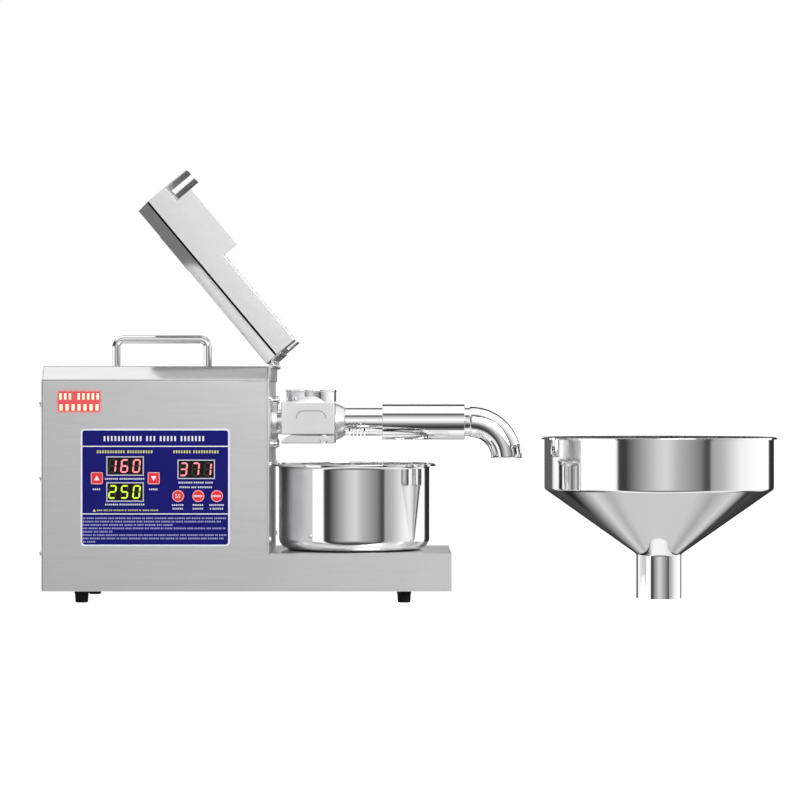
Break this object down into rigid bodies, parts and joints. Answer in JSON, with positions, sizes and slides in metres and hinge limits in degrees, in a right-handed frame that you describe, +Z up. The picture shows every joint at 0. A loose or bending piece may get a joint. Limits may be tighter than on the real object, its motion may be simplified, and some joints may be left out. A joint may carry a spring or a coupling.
{
  "type": "screw oil press",
  "caption": "Countertop screw press for seed oil: drive housing, heated press head with feed collar, slotted cage and outlet elbow, hinged lid, oil pot and funnel.",
  "frame": {"origin": "on the surface it stands on, under the middle of the whole set's footprint", "axes": "+X from the housing's rear panel to the outlet and the funnel, +Y from the control panel's side to the far side, +Z up"},
  "size_m": [0.7484, 0.2416, 0.4345],
  "materials": {
    "black_plastic": "black moulded plastic",
    "black_rubber": "matt black",
    "board_green": "circuit board",
    "brushed_steel": "fine brushed stainless sheet",
    "cast_alloy": "rough die casting",
    "cast_head": "bead-blasted cast metal, pale grey",
    "dark_steel": "grey steel plate in shade",
    "display_lens": "smoked window over lit digits",
    "gear_steel": "machined steel",
    "key_red": "red keys",
    "lamp_lens": "lit window with plain bars",
    "panel_blue": "satin printed foil, deep blue",
    "polished_steel": "mirror-polished stainless steel"
  },
  "bodies": {
    "root": {"barrel_flange": "cast_head", "base_deck": "brushed_steel", "bottom_plate": "brushed_steel", "cage_nut": "polished_steel", "carry_handle": "polished_steel", "case_shell": "brushed_steel", "clamp_bar": "polished_steel", "control_board": "board_green", "control_faceplate": "panel_blue", "display_setting": "display_lens", "display_speed": "display_lens", "display_temperature": "display_lens", "feed_block": "cast_head", "feed_collar": "polished_steel", "flange_bolt_1": "polished_steel", "flange_bolt_2": "polished_steel", "flange_bolt_3": "polished_steel", "flange_bolt_4": "polished_steel", "foot_front_far": "black_rubber", "foot_front_near": "black_rubber", "foot_rear_far": "black_rubber", "foot_rear_near": "black_rubber", "front_plate": "dark_steel", "front_screw_1": "polished_steel", "front_screw_2": "polished_steel", "front_screw_3": "polished_steel", "front_screw_4": "polished_steel", "gearbox_housing": "cast_alloy", "heater_cartridge": "polished_steel", "hinge_base_leaf": "brushed_steel", "hinge_pin": "polished_steel", "indicator_window": "lamp_lens", "motor_can": "dark_steel", "outlet_sleeve": "polished_steel", "output_bearing": "gear_steel", "power_inlet": "black_plastic", "press_cage": "polished_steel", "rear_panel": "brushed_steel", "rear_screw_1": "polished_steel", "rear_screw_2": "polished_steel", "rear_screw_3": "polished_steel", "rear_screw_4": "polished_steel", "rear_screw_5": "polished_steel", "rear_screw_6": "polished_steel"},
    "lid": {"lid": "brushed_steel", "hinge_lid_leaf": "brushed_steel"},
    "press_screw": {"press_screw": "polished_steel", "output_shaft": "gear_steel", "output_gear": "gear_steel"},
    "idler": {"idler_gear": "gear_steel"},
    "rotor": {"motor_rotor": "gear_steel", "cooling_fan": "black_plastic"},
    "elbow": {"outlet_elbow": "polished_steel"},
    "pot": {"pot": "polished_steel"},
    "funnel": {"funnel": "polished_steel"},
    "key_raise": {"key_raise": "key_red"},
    "key_lower": {"key_lower": "key_red"},
    "key_power": {"key_power": "key_red"},
    "key_press": {"key_press": "key_red"},
    "key_reverse": {"key_reverse": "key_red"}
  },
  "joints": [
    {"name": "lid_hinge", "type": "hinge", "parent": "root", "child": "lid", "pos_m": [-0.14113, 0, 0.238], "axis": [0, 1, 0], "range_deg": [0, 130]},
    {"name": "motor_spin", "type": "hinge", "parent": "root", "child": "rotor", "pos_m": [-0.30952, 0, 0.0911], "axis": [1, 0, 0], "continuous": true},
    {"name": "idler_spin", "type": "hinge", "parent": "root", "child": "idler", "pos_m": [-0.19353, 0, 0.1361], "axis": [1, 0, 0], "continuous": true},
    {"name": "press_screw_spin", "type": "hinge", "parent": "root", "child": "press_screw", "pos_m": [-0.17152, 0, 0.1811], "axis": [1, 0, 0], "continuous": true},
    {"name": "elbow_swivel", "type": "hinge", "parent": "root", "child": "elbow", "pos_m": [0.05988, 0, 0.1811], "axis": [1, 0, 0], "range_deg": [-90, 90]},
    {"name": "pot_slide", "type": "slide", "parent": "root", "child": "pot", "axis": [0.08, -0.9968, 0], "range_m": [0, 0.2]},
    {"name": "funnel_lift", "type": "slide", "parent": "root", "child": "funnel", "axis": [0, 0, 1], "range_m": [0, 0.15]},
    {"name": "key_raise_travel", "type": "slide", "parent": "root", "child": "key_raise", "axis": [0, 1, 0], "range_m": [0, 0.0008], "stiffness_N_per_m": 250},
    {"name": "key_lower_travel", "type": "slide", "parent": "root", "child": "key_lower", "axis": [0, 1, 0], "range_m": [0, 0.0008], "stiffness_N_per_m": 250},
    {"name": "key_power_travel", "type": "slide", "parent": "root", "child": "key_power", "axis": [0, 1, 0], "range_m": [0, 0.0008], "stiffness_N_per_m": 250},
    {"name": "key_press_travel", "type": "slide", "parent": "root", "child": "key_press", "axis": [0, 1, 0], "range_m": [0, 0.0008], "stiffness_N_per_m": 250},
    {"name": "key_reverse_travel", "type": "slide", "parent": "root", "child": "key_reverse", "axis": [0, 1, 0], "range_m": [0, 0.0008], "stiffness_N_per_m": 250}
  ],
  "couplings": [
    {"joint": "idler_spin", "follows": "motor_spin", "ratio": -0.25},
    {"joint": "press_screw_spin", "follows": "motor_spin", "ratio": 0.0625}
  ]
}
